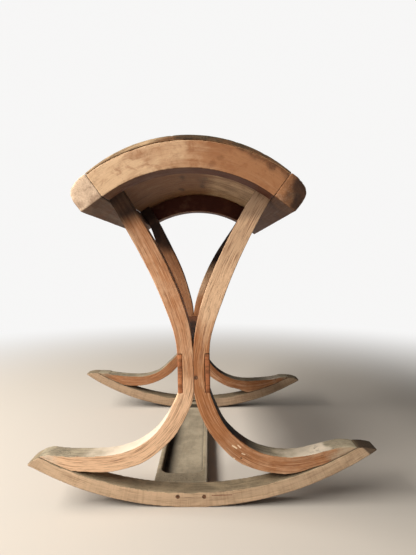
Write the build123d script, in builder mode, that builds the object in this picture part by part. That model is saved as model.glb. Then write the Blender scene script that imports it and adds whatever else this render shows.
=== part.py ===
from build123d import *
import os
from math import cos, radians, sin, sqrt

# Wooden saddle rack, millimetres, +Z up.
# An arched seat stands on two hourglass frames, each of two curved legs that touch at the waist and end
# in pointed feet on a rocker. A forked stretcher ties the frames at the waist and a carved tray ties
# them at the floor. The origin is on the floor under the middle of the rack. X runs across the seat and
# Y along it. The hand-made frames have settled with a small lean, the feet of the front one to the right
# and those of the rear one to the left, their legs and rockers are not quite alike, and the tray sits left
# of the middle.

FRONT, REAR = -1, 1
LEFT, RIGHT = -1, 1

# ---- driving dimensions ----

# seat
SEAT_LENGTH = 541.0
CROWN_Z = 538.3                   # highest point of the seat
SEAT_JOINT_TOP = (143.0, 485.0)   # upper end of the slanted joint between the seat and a side rail
SEAT_JOINT_LOW = (119.0, 452.6)   # lower end of that joint
PANEL_CROWN = 6.7                 # thickness of the seat panel at the crown
PANEL_EDGE = 2.6                  # and along its edges
RIB_BELLY_Z = {FRONT: 492.5, REAR: 488.5}  # underside of the ribs on the middle plane
RAIL_NOSE = [(151.5, 478.8), (160.0, 469.6), (164.0, 461.0), (162.4, 451.0), (156.6, 441.5)]
RAIL_HEEL = (148.0, 431.3)

# frames; their sizes across and up are those of an upright frame, before it leans
FOOT_LEAN = 1.5                   # degrees, about the centre of the rolling edge, up to FOOT_LEAN_Z
WAIST_LEAN = {FRONT: 1.0, REAR: 2.2}  # and from WAIST_LEAN_Z up
FOOT_LEAN_Z = 85.0
WAIST_LEAN_Z = 160.0
FRAME_OUT_Y = 229.0               # outer face of a frame, from the middle of the rack
FRAME_DEPTH = 30.0
WAIST_TOP_Z = 226.3               # upper end of the fork housing
WAIST_LOW_Z = 168.0               # lower end of the fork housing
WAIST_HALF = 24.0                 # half width over the fork cheeks
CHEEK = 7.4                       # thickness of a fork cheek
LEGS_MEET_Z = 225.0               # the legs touch from this height
LEGS_PART_Z = 167.0               # down to this one
LEG_TOP_INNER_X = 119.8           # inner corner of a leg's top, under the seat panel

# leg outlines between those fixed points, as distance from the middle plane and height, with the
# distance at which the underside of the foot comes down on the rocker and how steeply its top comes
# down to the toe; no two legs are quite alike:
# both right ones hang lower below the waist, and the rear left one is bent further out above it
FRONT_LEFT_LEG = dict(
    upper_outer=[(92.5, 406.0), (62.0, 346.6), (36.4, 283.3)],
    lower_outer=[
        (34.5, 145.5), (53.3, 118.7), (84.6, 94.2),
        (122.4, 81.8), (166.8, 80.0), (211.0, 82.5),
    ],
    lower_inner=[
        (167.5, 56.6), (141.0, 54.8), (112.0, 58.3), (82.0, 67.3),
        (55.8, 84.4), (32.1, 106.0), (12.0, 137.0),
    ],
    upper_inner=[(8.2, 282.0), (27.9, 338.6), (58.8, 401.6), (98.5, 467.5)],
    heel_x=188.0,
    toe_fall=0.42,
)
FRONT_RIGHT_LEG = dict(
    upper_outer=[(92.5, 406.0), (63.0, 346.6), (37.6, 283.3)],
    lower_outer=[
        (31.0, 147.0), (43.0, 119.8), (63.3, 96.6), (88.0, 80.4),
        (121.0, 71.3), (158.0, 71.5), (211.0, 82.5),
    ],
    lower_inner=[
        (160.0, 50.0), (135.0, 44.6), (105.6, 47.3), (76.3, 56.1),
        (54.5, 68.0), (33.2, 89.0), (19.5, 108.5), (7.5, 136.0),
    ],
    upper_inner=[(8.2, 282.0), (27.9, 338.6), (58.8, 401.6), (98.5, 467.5)],
    heel_x=182.0,
    toe_fall=0.15,
)
REAR_LEFT_LEG = dict(
    upper_outer=[(99.5, 406.0), (68.5, 346.6), (40.0, 283.3)],
    lower_outer=[
        (30.0, 145.0), (57.5, 112.0), (83.5, 89.5),
        (112.0, 78.0), (152.0, 74.3), (208.0, 79.3),
    ],
    lower_inner=[
        (149.0, 50.3), (119.0, 53.0), (88.0, 63.3),
        (58.0, 82.0), (33.0, 108.0), (8.0, 145.0),
    ],
    upper_inner=[(11.5, 282.0), (32.0, 338.6), (64.3, 401.6), (102.0, 467.5)],
    heel_x=172.0,
    toe_fall=0.0,
)
REAR_RIGHT_LEG = dict(
    upper_outer=[(94.0, 406.0), (63.5, 346.6), (37.5, 283.3)],
    lower_outer=[
        (27.5, 145.0), (42.0, 113.0), (66.0, 88.5),
        (104.0, 72.5), (147.0, 70.5), (208.0, 78.6),
    ],
    lower_inner=[
        (116.0, 46.5), (91.0, 52.5), (66.0, 63.0),
        (41.0, 78.5), (20.0, 103.0), (6.0, 140.0),
    ],
    upper_inner=[(9.2, 282.0), (28.8, 338.6), (60.8, 401.6), (100.5, 467.5)],
    heel_x=138.0,
    toe_fall=0.0,
)
LEGS = {
    (FRONT, LEFT): FRONT_LEFT_LEG,
    (FRONT, RIGHT): FRONT_RIGHT_LEG,
    (REAR, LEFT): REAR_LEFT_LEG,
    (REAR, RIGHT): REAR_RIGHT_LEG,
}

# rockers
SOLE_RADIUS = 495.0               # rolling edge
SOLE_FLAT_HALF = 25.0             # half length of the worn flat that the rack rests on
ROCKER_TOP_RADIUS = 501.5
ROCKER_THICK = 22.0               # on the middle plane
TIP_X = {(FRONT, LEFT): 253.5, (FRONT, RIGHT): 266.0, (REAR, LEFT): 266.0, (REAR, RIGHT): 261.0}
BEAK_BULGE = 1.5                  # rise of the slanted end above a straight line from toe to tip
FOOT_TOE_X = 236.0                # feather edge of a foot

# tray
TRAY_LEFT_X = -58.5
TRAY_RIGHT_X = 25.0
TRAY_TOP_Z = 22.0
TRAY_LOW_Z = 5.0
TRAY_RIM = 8.5                    # wood left beside the recess
TRAY_END = 30.0                   # wood left at its ends
TRAY_DEPTH = 13.0
TRAY_CORNER = 16.0
TRAY_COVE = 4.0                   # rounding between the recess walls and floor

# dowels and pegs
DOWEL_R = 4.0
LEG_DOWEL_AT = [(115.5, 470.0), (124.0, 484.0)]
LEG_DOWEL_IN_RIB = 25.0
LEG_DOWEL_IN_LEG = 22.0
RAIL_DOWEL_IN_RIB = 18.0
RAIL_DOWEL_IN_RAIL = 14.0
RAIL_DOWEL_STEPS = (12.0, 28.0)   # along the joint from its lower end
RAIL_DOWEL_SETBACK = 9.0          # from the end of the seat
PEG_R = 4.5
PEG_Z = 206.0

# nails and pins
NAIL_R = 1.6
NAIL_HEAD_R = 2.9
NAIL_HEAD = 1.0
WAIST_NAIL_AT = (3.3, 190.7)
WAIST_NAIL_LENGTH = 55.0
TRAY_NAIL_X = (-19.0, 20.0)
TRAY_NAIL_Z = 15.5
TRAY_NAIL_LENGTH = 50.0
FOOT_NAIL_X = (196.0, 214.0)
FOOT_NAIL_LENGTH = 31.0
PIN_R = 1.2
PIN_HEAD_R = 2.4
PIN_LENGTH = 24.0
PIN_SETBACK = 21.0                # from the end of the seat
PIN_ANGLES = (-32.0, -16.0, 0.0, 16.0, 32.0)

# ---- derived geometry ----

SEAT_END_Y = SEAT_LENGTH / 2
RIB_DEPTH = SEAT_END_Y - FRAME_OUT_Y
FRAME_IN_Y = FRAME_OUT_Y - FRAME_DEPTH
FRAME_MID_Y = FRAME_OUT_Y - FRAME_DEPTH / 2

joint = Vector(*SEAT_JOINT_TOP) - Vector(*SEAT_JOINT_LOW)
joint_along = joint.normalized()
joint_across = Vector(joint_along.Y, -joint_along.X)
panel_edge = Vector(*SEAT_JOINT_TOP) - joint_along * PANEL_EDGE
PANEL_UNDER_EDGE = (panel_edge.X, panel_edge.Y)
PANEL_UNDER_CROWN_Z = CROWN_Z - PANEL_CROWN


def arc_radius(half_chord, rise):
    """Radius of an arc from its half chord and its rise."""
    return (half_chord**2 + rise**2) / (2 * rise)


SEAT_RADIUS = arc_radius(SEAT_JOINT_TOP[0], CROWN_Z - SEAT_JOINT_TOP[1])
PANEL_UNDER_RADIUS = arc_radius(PANEL_UNDER_EDGE[0], PANEL_UNDER_CROWN_Z - PANEL_UNDER_EDGE[1])


def panel_under_z(x):
    """Height of the underside of the seat panel."""
    return PANEL_UNDER_CROWN_Z - PANEL_UNDER_RADIUS + sqrt(PANEL_UNDER_RADIUS**2 - x**2)


def rocker_top_z(x):
    """Height of a rocker's upper edge."""
    return ROCKER_THICK + ROCKER_TOP_RADIUS - sqrt(ROCKER_TOP_RADIUS**2 - x**2)


# The rolling circle would reach a little below the floor, and that much has worn away.
ROLL_CENTRE_Z = sqrt(SOLE_RADIUS**2 - SOLE_FLAT_HALF**2)


def sole_z(x):
    """Height of a rocker's rolling edge, outside its worn flat."""
    return ROLL_CENTRE_Z - sqrt(SOLE_RADIUS**2 - x**2)


TOE = (FOOT_TOE_X, rocker_top_z(FOOT_TOE_X))


def turned(end, x, z, at_z=WAIST_LEAN_Z):
    """A direction in a frame, after the lean that the frame has at a height."""
    share = min(max((at_z - FOOT_LEAN_Z) / (WAIST_LEAN_Z - FOOT_LEAN_Z), 0), 1)
    lean = radians(-end * (FOOT_LEAN + share * (WAIST_LEAN[end] - FOOT_LEAN)))
    return (x * cos(lean) - z * sin(lean), x * sin(lean) + z * cos(lean))


def leaning(end, x, z):
    """A point of a frame, after its lean."""
    across, up = turned(end, x, z - ROLL_CENTRE_Z, z)
    return (across, ROLL_CENTRE_Z + up)


def cross_plane(y):
    """Upright plane across the rack at this y; a negative extrude runs towards +Y."""
    return Plane.XZ.offset(-y)


def low_y(end, inner, outer):
    """The smaller y of a piece that lies between two distances from the middle, at one end."""
    return min(end * inner, end * outer)


# ---- dowels, pegs, nails and pins ----


def rods(radius, length, places):
    """Plain round rods, one for each pair of start point and direction."""
    with BuildPart() as group:
        for start, direction in places:
            with BuildSketch(Plane(start, z_dir=direction)):
                Circle(radius)
            extrude(amount=length)
    return group.part


def nails(radius, head_radius, length, places):
    """Nails with flush flat heads, one for each pair of start point and direction."""
    with BuildPart() as group:
        for start, direction in places:
            with BuildSketch(Plane(start, z_dir=direction)):
                Circle(head_radius)
            extrude(amount=NAIL_HEAD)
            with BuildSketch(Plane(start, z_dir=direction)):
                Circle(radius)
            extrude(amount=length)
    return group.part


def leg_dowels(end):
    """Blind dowels from a rib into the tops of its two legs."""
    start_y = end * (FRAME_OUT_Y + LEG_DOWEL_IN_RIB)
    places = [
        ((side * x, start_y, z), (0, -end, 0))
        for side in (LEFT, RIGHT)
        for x, z in LEG_DOWEL_AT
    ]
    return rods(DOWEL_R, LEG_DOWEL_IN_RIB + LEG_DOWEL_IN_LEG, places)


def rail_dowels(end):
    """Blind dowels square to the slanted joints between a rib and the side rails."""
    y = end * (SEAT_END_Y - RAIL_DOWEL_SETBACK)
    places = []
    for side in (LEFT, RIGHT):
        for step in RAIL_DOWEL_STEPS:
            at = Vector(*SEAT_JOINT_LOW) + joint_along * step - joint_across * RAIL_DOWEL_IN_RIB
            places.append(((side * at.X, y, at.Y), (side * joint_across.X, 0, joint_across.Y)))
    return rods(DOWEL_R, RAIL_DOWEL_IN_RIB + RAIL_DOWEL_IN_RAIL, places)


def waist_peg(end):
    """Cross peg through both cheeks and both legs, flush at each side."""
    x, z = leaning(end, -WAIST_HALF, PEG_Z)
    across, up = turned(end, 1, 0)
    return rods(PEG_R, 2 * WAIST_HALF, [((x, end * FRAME_MID_Y, z), (across, 0, up))])


def waist_nail(end):
    """Nail through the face of one leg into the body of the stretcher."""
    x, z = leaning(end, *WAIST_NAIL_AT)
    places = [((x, end * FRAME_OUT_Y, z), (0, -end, 0))]
    return nails(NAIL_R, NAIL_HEAD_R, WAIST_NAIL_LENGTH, places)


def tray_nails(end):
    """Nails through the face of a rocker into the end of the tray."""
    places = [((x, end * FRAME_OUT_Y, TRAY_NAIL_Z), (0, -end, 0)) for x in TRAY_NAIL_X]
    return nails(NAIL_R, NAIL_HEAD_R, TRAY_NAIL_LENGTH, places)


def foot_nails(end):
    """Nails up through a rocker into its two feet, square to the sole."""
    places = []
    for side in (LEFT, RIGHT):
        for x in FOOT_NAIL_X:
            sole_x, sole_height = leaning(end, side * x, sole_z(x))
            inward = (-sole_x, 0, ROLL_CENTRE_Z - sole_height)
            places.append(((sole_x, end * FRAME_MID_Y, sole_height), inward))
    return nails(NAIL_R, NAIL_HEAD_R, FOOT_NAIL_LENGTH, places)


def panel_pins(end):
    """Pins square to the seat through the panel into a rib."""
    y = end * (SEAT_END_Y - PIN_SETBACK)
    places = []
    for angle in PIN_ANGLES:
        out_x, out_z = sin(radians(angle)), cos(radians(angle))
        z = CROWN_Z - SEAT_RADIUS + SEAT_RADIUS * out_z
        places.append(((SEAT_RADIUS * out_x, y, z), (-out_x, 0, -out_z)))
    return nails(PIN_R, PIN_HEAD_R, PIN_LENGTH, places)


fasteners = {}
for name, end in (("front", FRONT), ("rear", REAR)):
    fasteners[f"{name}_leg_dowels"] = leg_dowels(end)
    fasteners[f"{name}_rail_dowels"] = rail_dowels(end)
    fasteners[f"{name}_waist_peg"] = waist_peg(end)
    fasteners[f"{name}_waist_nail"] = waist_nail(end)
    fasteners[f"{name}_tray_nails"] = tray_nails(end)
    fasteners[f"{name}_foot_nails"] = foot_nails(end)
    fasteners[f"{name}_panel_pins"] = panel_pins(end)


def bored_for(*kinds, ends=("front", "rear")):
    """The fasteners of these kinds, which a piece is bored for."""
    return [fasteners[f"{end}_{kind}"] for end in ends for kind in kinds]


# ---- seat ----

with BuildPart() as seat_panel:
    with BuildSketch(cross_plane(-SEAT_END_Y)):
        with BuildLine():
            edge_x, edge_z = PANEL_UNDER_EDGE
            top_x, top_z = SEAT_JOINT_TOP
            ThreePointArc((-top_x, top_z), (0, CROWN_Z), (top_x, top_z))
            Line((top_x, top_z), (edge_x, edge_z))
            ThreePointArc((edge_x, edge_z), (0, PANEL_UNDER_CROWN_Z), (-edge_x, edge_z))
            Line((-edge_x, edge_z), (-top_x, top_z))
        make_face()
    extrude(amount=-SEAT_LENGTH)
    for bore in bored_for("panel_pins"):
        add(bore, mode=Mode.SUBTRACT)


def arch_rib(name, end):
    """Arched rib under one end of the seat panel, between the side rails."""
    with BuildPart() as rib:
        with BuildSketch(cross_plane(low_y(end, FRAME_OUT_Y, SEAT_END_Y))):
            with BuildLine():
                edge_x, edge_z = PANEL_UNDER_EDGE
                low_x, low_z = SEAT_JOINT_LOW
                ThreePointArc((-edge_x, edge_z), (0, PANEL_UNDER_CROWN_Z), (edge_x, edge_z))
                Line((edge_x, edge_z), (low_x, low_z))
                ThreePointArc((low_x, low_z), (0, RIB_BELLY_Z[end]), (-low_x, low_z))
                Line((-low_x, low_z), (-edge_x, edge_z))
            make_face()
        extrude(amount=-RIB_DEPTH)
        for bore in bored_for("leg_dowels", "rail_dowels", "panel_pins", ends=(name,)):
            add(bore, mode=Mode.SUBTRACT)
    return rib.part


def side_rail(side):
    """Solid nosed rail along one edge of the seat, for its whole length."""
    with BuildPart() as rail:
        with BuildSketch(cross_plane(-SEAT_END_Y)):
            with BuildLine():
                top = (side * SEAT_JOINT_TOP[0], SEAT_JOINT_TOP[1])
                low = (side * SEAT_JOINT_LOW[0], SEAT_JOINT_LOW[1])
                heel = (side * RAIL_HEEL[0], RAIL_HEEL[1])
                nose = [(side * x, z) for x, z in RAIL_NOSE]
                Spline(top, *nose, heel)
                Line(heel, low)
                Line(low, top)
            make_face()
        extrude(amount=-SEAT_LENGTH)
        for bore in bored_for("rail_dowels"):
            add(bore, mode=Mode.SUBTRACT)
    return rail.part


# ---- frames ----


def leg(name, side, end):
    """Curved leg from the seat panel through the waist to a pointed foot on the rocker."""

    def at(x, z):
        return leaning(end, side * x, z)

    def heading(x, z):
        return turned(end, side * x, z)

    def under_panel(x):
        return (side * x, panel_under_z(x))

    top_outer = (side * PANEL_UNDER_EDGE[0], PANEL_UNDER_EDGE[1])
    joint_low = (side * SEAT_JOINT_LOW[0], SEAT_JOINT_LOW[1])
    top_inner = under_panel(LEG_TOP_INNER_X)
    top_middle = under_panel((LEG_TOP_INNER_X + PANEL_UNDER_EDGE[0]) / 2)
    shape = LEGS[end, side]
    foot_middle_x = (FOOT_TOE_X + shape["heel_x"]) / 2
    foot_middle = at(foot_middle_x, rocker_top_z(foot_middle_x))
    toe, heel = at(*TOE), at(shape["heel_x"], rocker_top_z(shape["heel_x"]))
    part_point, meet_point = at(0, LEGS_PART_Z), at(0, LEGS_MEET_Z)
    housing = [
        at(WAIST_HALF, WAIST_TOP_Z),
        at(WAIST_HALF - CHEEK, WAIST_TOP_Z),
        at(WAIST_HALF - CHEEK, WAIST_LOW_Z),
        at(WAIST_HALF, WAIST_LOW_Z),
    ]
    upper_outer = [at(*point) for point in shape["upper_outer"]]
    lower_outer = [at(*point) for point in shape["lower_outer"]]
    lower_inner = [at(*point) for point in shape["lower_inner"]]
    upper_inner = [at(*point) for point in shape["upper_inner"]]
    with BuildPart() as piece:
        with BuildSketch(cross_plane(low_y(end, FRAME_IN_Y, FRAME_OUT_Y))):
            with BuildLine():
                Line(top_outer, joint_low)
                into_waist = [heading(-0.54, -0.84), heading(-0.04, -1)]
                Spline(joint_low, *upper_outer, housing[0], tangents=into_waist)
                Polyline(*housing)
                out_to_toe = [heading(0.3, -1), heading(1, -shape["toe_fall"])]
                Spline(housing[3], *lower_outer, toe, tangents=out_to_toe)
                ThreePointArc(toe, foot_middle, heel)
                back_to_waist = [heading(-1, -0.17), heading(-0.15, 1)]
                Spline(heel, *lower_inner, part_point, tangents=back_to_waist)
                Line(part_point, meet_point)
                up_to_seat = [heading(0.02, 1), heading(0.57, 0.82)]
                Spline(meet_point, *upper_inner, top_inner, tangents=up_to_seat)
                ThreePointArc(top_inner, top_middle, top_outer)
            make_face()
        extrude(amount=-FRAME_DEPTH)
        for bore in bored_for("leg_dowels", "waist_peg", "waist_nail", "foot_nails", ends=(name,)):
            add(bore, mode=Mode.SUBTRACT)
    return piece.part


def rocker(name, end):
    """Curved runner with a beaked tip at each side and a worn flat in the middle of its sole."""
    with BuildPart() as runner:
        with BuildSketch(cross_plane(low_y(end, FRAME_IN_Y, FRAME_OUT_Y))):
            with BuildLine():
                for side in (LEFT, RIGHT):
                    tip_x = TIP_X[end, side]
                    tip = leaning(end, side * tip_x, sole_z(tip_x))
                    beak_z = (TOE[1] + sole_z(tip_x)) / 2 + BEAK_BULGE
                    beak = leaning(end, side * (TOE[0] + tip_x) / 2, beak_z)
                    toe = leaning(end, side * TOE[0], TOE[1])
                    sole_middle_x = (SOLE_FLAT_HALF + tip_x) / 2
                    flat_end = (side * SOLE_FLAT_HALF, 0)
                    ThreePointArc(flat_end, (side * sole_middle_x, sole_z(sole_middle_x)), tip)
                    ThreePointArc(tip, beak, toe)
                Line((-SOLE_FLAT_HALF, 0), (SOLE_FLAT_HALF, 0))
                toes = [leaning(end, side * TOE[0], TOE[1]) for side in (LEFT, RIGHT)]
                ThreePointArc(toes[0], leaning(end, 0, ROCKER_THICK), toes[1])
            make_face()
        extrude(amount=-FRAME_DEPTH)
        for bore in bored_for("foot_nails", "tray_nails", ends=(name,)):
            add(bore, mode=Mode.SUBTRACT)
    return runner.part


def waist_block(end, inner_x, outer_x):
    """Corners of a block of the waist's height between two distances from the middle of a frame."""
    low, high = WAIST_LOW_Z, WAIST_TOP_Z
    corners = [(inner_x, low), (outer_x, low), (outer_x, high), (inner_x, high)]
    return [leaning(end, x, z) for x, z in corners]


with BuildPart() as waist_stretcher:
    for end in (FRONT, REAR):
        with BuildSketch(cross_plane(end * FRAME_IN_Y)):
            Polygon(*waist_block(end, -WAIST_HALF, WAIST_HALF), align=None)
    loft()
    for end in (FRONT, REAR):
        with BuildSketch(cross_plane(low_y(end, FRAME_IN_Y, FRAME_OUT_Y))):
            Polygon(*waist_block(end, -WAIST_HALF, CHEEK - WAIST_HALF), align=None)
            Polygon(*waist_block(end, WAIST_HALF - CHEEK, WAIST_HALF), align=None)
        extrude(amount=-FRAME_DEPTH)
    for bore in bored_for("waist_peg", "waist_nail"):
        add(bore, mode=Mode.SUBTRACT)

# ---- tray ----

with BuildPart() as bottom_tray:
    tray_middle_x = (TRAY_LEFT_X + TRAY_RIGHT_X) / 2
    tray_width = TRAY_RIGHT_X - TRAY_LEFT_X
    with BuildSketch(Plane.XY.offset(TRAY_LOW_Z)):
        with Locations((tray_middle_x, 0)):
            Rectangle(tray_width, 2 * FRAME_IN_Y)
    extrude(amount=TRAY_TOP_Z - TRAY_LOW_Z)
    with BuildSketch(Plane.XY.offset(TRAY_TOP_Z)):
        with Locations((tray_middle_x, 0)):
            RectangleRounded(tray_width - 2 * TRAY_RIM, 2 * (FRAME_IN_Y - TRAY_END), TRAY_CORNER)
    extrude(amount=-TRAY_DEPTH, mode=Mode.SUBTRACT)
    recess_floor = bottom_tray.faces().filter_by(Plane.XY).sort_by(Axis.Z)[1]
    fillet(recess_floor.edges(), TRAY_COVE)
    for bore in bored_for("tray_nails"):
        add(bore, mode=Mode.SUBTRACT)

# ---- the finished pieces ----

pieces = {
    "seat_panel": seat_panel.part,
    "front_arch_rib": arch_rib("front", FRONT),
    "rear_arch_rib": arch_rib("rear", REAR),
    "left_side_rail": side_rail(LEFT),
    "right_side_rail": side_rail(RIGHT),
    "front_left_leg": leg("front", LEFT, FRONT),
    "front_right_leg": leg("front", RIGHT, FRONT),
    "rear_left_leg": leg("rear", LEFT, REAR),
    "rear_right_leg": leg("rear", RIGHT, REAR),
    "front_rocker": rocker("front", FRONT),
    "rear_rocker": rocker("rear", REAR),
    "waist_stretcher": waist_stretcher.part,
    "bottom_tray": bottom_tray.part,
    **fasteners,
}

os.makedirs("parts", exist_ok=True)
for name, part in pieces.items():
    part.label = name
    export_step(part, f"parts/{name}.step")
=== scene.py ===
"""Looks for the wooden saddle rack, in metres, in the row frame.

Its 13 wooden pieces get worn, hand-carved meshes and old-wood materials whose grain follows each piece. The dowels and
nails keep their CAD meshes and get materials.
"""

from math import atan2, pi, radians, sqrt

import bmesh
import bpy
import numpy as np
from mathutils import Matrix, Vector


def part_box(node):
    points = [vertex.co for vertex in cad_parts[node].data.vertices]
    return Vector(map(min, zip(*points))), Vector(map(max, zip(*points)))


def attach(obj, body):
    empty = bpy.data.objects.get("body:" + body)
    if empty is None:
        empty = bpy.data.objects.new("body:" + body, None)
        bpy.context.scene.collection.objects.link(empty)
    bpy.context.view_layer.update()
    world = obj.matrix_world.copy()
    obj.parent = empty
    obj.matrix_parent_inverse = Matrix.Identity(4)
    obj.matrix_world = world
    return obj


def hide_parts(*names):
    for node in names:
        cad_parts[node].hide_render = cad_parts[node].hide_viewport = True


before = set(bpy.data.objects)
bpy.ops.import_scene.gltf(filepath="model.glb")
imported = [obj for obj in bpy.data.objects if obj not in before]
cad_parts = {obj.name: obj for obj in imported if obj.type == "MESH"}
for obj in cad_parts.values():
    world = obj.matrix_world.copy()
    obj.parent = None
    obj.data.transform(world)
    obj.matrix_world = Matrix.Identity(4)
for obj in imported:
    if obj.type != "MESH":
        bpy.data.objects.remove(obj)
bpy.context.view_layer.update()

MM = 0.001
WELD = 0.01 * MM                       # points nearer than this are one point
WEAR_DEPTH = 0.5 * MM                  # an edge worn this deep counts as fully worn
FRONT_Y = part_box("front_rocker")[0].y  # outer face of the front frame
RIB_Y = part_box("front_arch_rib")[0].y
REAR_RIB_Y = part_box("rear_arch_rib")[0].y
ROLL_CENTRE_Z = 494.4 * MM             # the rockers' grain turns about it
BACKDROP = (0.93, 0.925, 0.92, 1)


def add_to_scene(thing):
    bpy.context.scene.collection.objects.link(thing)


# ---- carving: clean solids from the CAD outlines, remeshed, worn and made uneven ----


def ripples(points, wavelength, seed, waves=14):
    """Smooth noise of about -1 to 1 at points, from plane waves of random direction."""
    rng = np.random.default_rng(seed)
    total = np.zeros(len(points))
    for _ in range(waves):
        direction = rng.normal(size=3)
        direction /= np.linalg.norm(direction)
        length = wavelength * rng.uniform(0.6, 1.6)
        total += np.sin(points @ direction * (2 * pi / length) + rng.uniform(0, 2 * pi))
    return total / sqrt(waves)


def smoothstep(low, high, x):
    t = np.clip((x - low) / (high - low), 0, 1)
    return t * t * (3 - 2 * t)


def welded(node):
    """A CAD node's mesh with its seams welded, as a bmesh."""
    bm = bmesh.new()
    bm.from_mesh(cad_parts[node].data)
    bmesh.ops.remove_doubles(bm, verts=bm.verts, dist=WELD)
    return bm


def to_mesh(bm, name):
    """A new mesh from a bmesh, which is freed."""
    mesh = bpy.data.meshes.new(name)
    bm.to_mesh(mesh)
    bm.free()
    return mesh


def outline(node):
    """The outer edge of a CAD node's front face, in order, as (x, z) points."""
    front_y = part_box(node)[0].y
    bm = welded(node)
    flat = {f for f in bm.faces if all(abs(v.co.y - front_y) < WELD for v in f.verts)}
    rim = {e for e in bm.edges if sum(f in flat for f in e.link_faces) == 1}
    loops = []
    while rim:
        edge = rim.pop()
        start, here = edge.verts
        loop = [start, here]
        while here != start:
            edge = next(e for e in here.link_edges if e in rim)
            rim.remove(edge)
            here = edge.other_vert(here)
            loop.append(here)
        loops.append([(v.co.x, v.co.z) for v in loop[:-1]])
    bm.free()
    return max(loops, key=lambda loop: np.ptp(loop, axis=0).sum())


def prism(node):
    """A CAD node that is the same all along Y, without its bores."""
    low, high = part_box(node)
    bm = bmesh.new()
    face = bm.faces.new([bm.verts.new((x, low.y, z)) for x, z in outline(node)])
    run = bmesh.ops.extrude_face_region(bm, geom=[face])["geom"]
    moved = [g for g in run if isinstance(g, bmesh.types.BMVert)]
    bmesh.ops.translate(bm, verts=moved, vec=(0, high.y - low.y, 0))
    bmesh.ops.recalc_face_normals(bm, faces=bm.faces)
    return to_mesh(bm, node)


def plain_copy(node):
    """A CAD node's own mesh, with its seams welded."""
    return to_mesh(welded(node), node)


def with_modifier(mesh, kind, **settings):
    """The mesh after one modifier."""
    holder = bpy.data.objects.new("holder", mesh)
    add_to_scene(holder)
    modifier = holder.modifiers.new("only", kind)
    for key, value in settings.items():
        setattr(modifier, key, value)
    made = bpy.data.meshes.new_from_object(holder.evaluated_get(bpy.context.evaluated_depsgraph_get()))
    bpy.data.objects.remove(holder)
    return made


def vectors(rows, name):
    values = np.empty(len(rows) * 3, np.float32)
    rows.foreach_get(name, values)
    return values.reshape(-1, 3).astype(float)


def coordinates(mesh):
    return vectors(mesh.vertices, "co")


def normals(mesh):
    return vectors(mesh.vertex_normals, "vector")


def set_coordinates(mesh, co):
    mesh.vertices.foreach_set("co", co.astype(np.float32).ravel())
    mesh.update()


def keep_in_box(mesh, node):
    """Brings every point back into the CAD node's box."""
    low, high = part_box(node)
    set_coordinates(mesh, np.clip(coordinates(mesh), low, high))


def neighbour_mean(co, ends, count):
    """The mean of each vertex's neighbours."""
    one, other = ends.T
    total = [
        np.bincount(one, co[other, axis], len(co)) + np.bincount(other, co[one, axis], len(co)) for axis in range(3)
    ]
    return np.stack(total, axis=1) / count[:, None]


def worn(mesh, rounds, most, softness=None):
    """Rounds the edges off by smoothing, by at most a set depth. Returns how far in each vertex went, from 0 to 1.

    softness(co) says for each vertex how much of that it takes, from 0 to 1.
    """
    co = coordinates(mesh)
    ends = np.empty(len(mesh.edges) * 2, np.int32)
    mesh.edges.foreach_get("vertices", ends)
    ends = ends.reshape(-1, 2)
    count = np.bincount(ends.ravel(), minlength=len(co))
    softness = np.ones(len(co)) if softness is None else softness(co)
    start, outward = co.copy(), normals(mesh)
    for _ in range(rounds):
        co += (neighbour_mean(co, ends, count) - co) * 0.6 * np.clip(3 * softness, 0, 1)[:, None]
    move = co - start
    length = np.linalg.norm(move, axis=1)
    move *= np.minimum(1, most * softness / np.maximum(length, 1e-9))[:, None]
    set_coordinates(mesh, start + move)
    inward = -(move * outward).sum(1)
    return np.clip(inward / WEAR_DEPTH, 0, 1)


def uneven(mesh, wear, seed, nicks=26):
    """Small hand-tool waves on every face, and nicks along the worn edges."""
    wave, nick_depth = 0.13 * MM, 0.6 * MM
    co, outward = coordinates(mesh), normals(mesh)
    rng = np.random.default_rng(seed)
    depth = wave * (0.7 * ripples(co, 60 * MM, seed) + 0.45 * ripples(co, 18 * MM, seed + 1))
    edges = np.flatnonzero(wear > 0.5)
    for at in rng.choice(edges, min(nicks, len(edges)), replace=False):
        reach = rng.uniform(1.5, 4.5) * MM
        gap = np.linalg.norm((co - co[at]) * (1, 0.8, 1), axis=1)
        depth += rng.uniform(0.2, 1.0) * nick_depth * smoothstep(reach, 0, gap)
    set_coordinates(mesh, co - outward * depth[:, None])


def cut(mesh, bars):
    """The mesh with round sockets cut into it, each a (start, end, radius)."""
    tools = bmesh.new()
    for start, end, radius in bars:
        start, end = Vector(start), Vector(end)
        axis = end - start
        place = Matrix.Translation((start + end) / 2) @ axis.to_track_quat("Z", "Y").to_matrix().to_4x4()
        bmesh.ops.create_cone(
            tools, cap_ends=True, segments=28, radius1=radius, radius2=radius, depth=axis.length, matrix=place
        )
    cutter = bpy.data.objects.new("cutter", to_mesh(tools, "sockets"))
    add_to_scene(cutter)
    made = with_modifier(mesh, "BOOLEAN", operation="DIFFERENCE", object=cutter, solver="EXACT")
    bpy.data.objects.remove(cutter)
    return made


def solids_of(node):
    """Each separate solid of a CAD node, as an array of its points."""
    bm = welded(node)
    left, found = set(bm.verts), []
    while left:
        group, todo = [], [left.pop()]
        while todo:
            vert = todo.pop()
            group.append(tuple(vert.co))
            for edge in vert.link_edges:
                other = edge.other_vert(vert)
                if other in left:
                    left.remove(other)
                    todo.append(other)
        found.append(np.array(group))
    bm.free()
    return found


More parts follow.
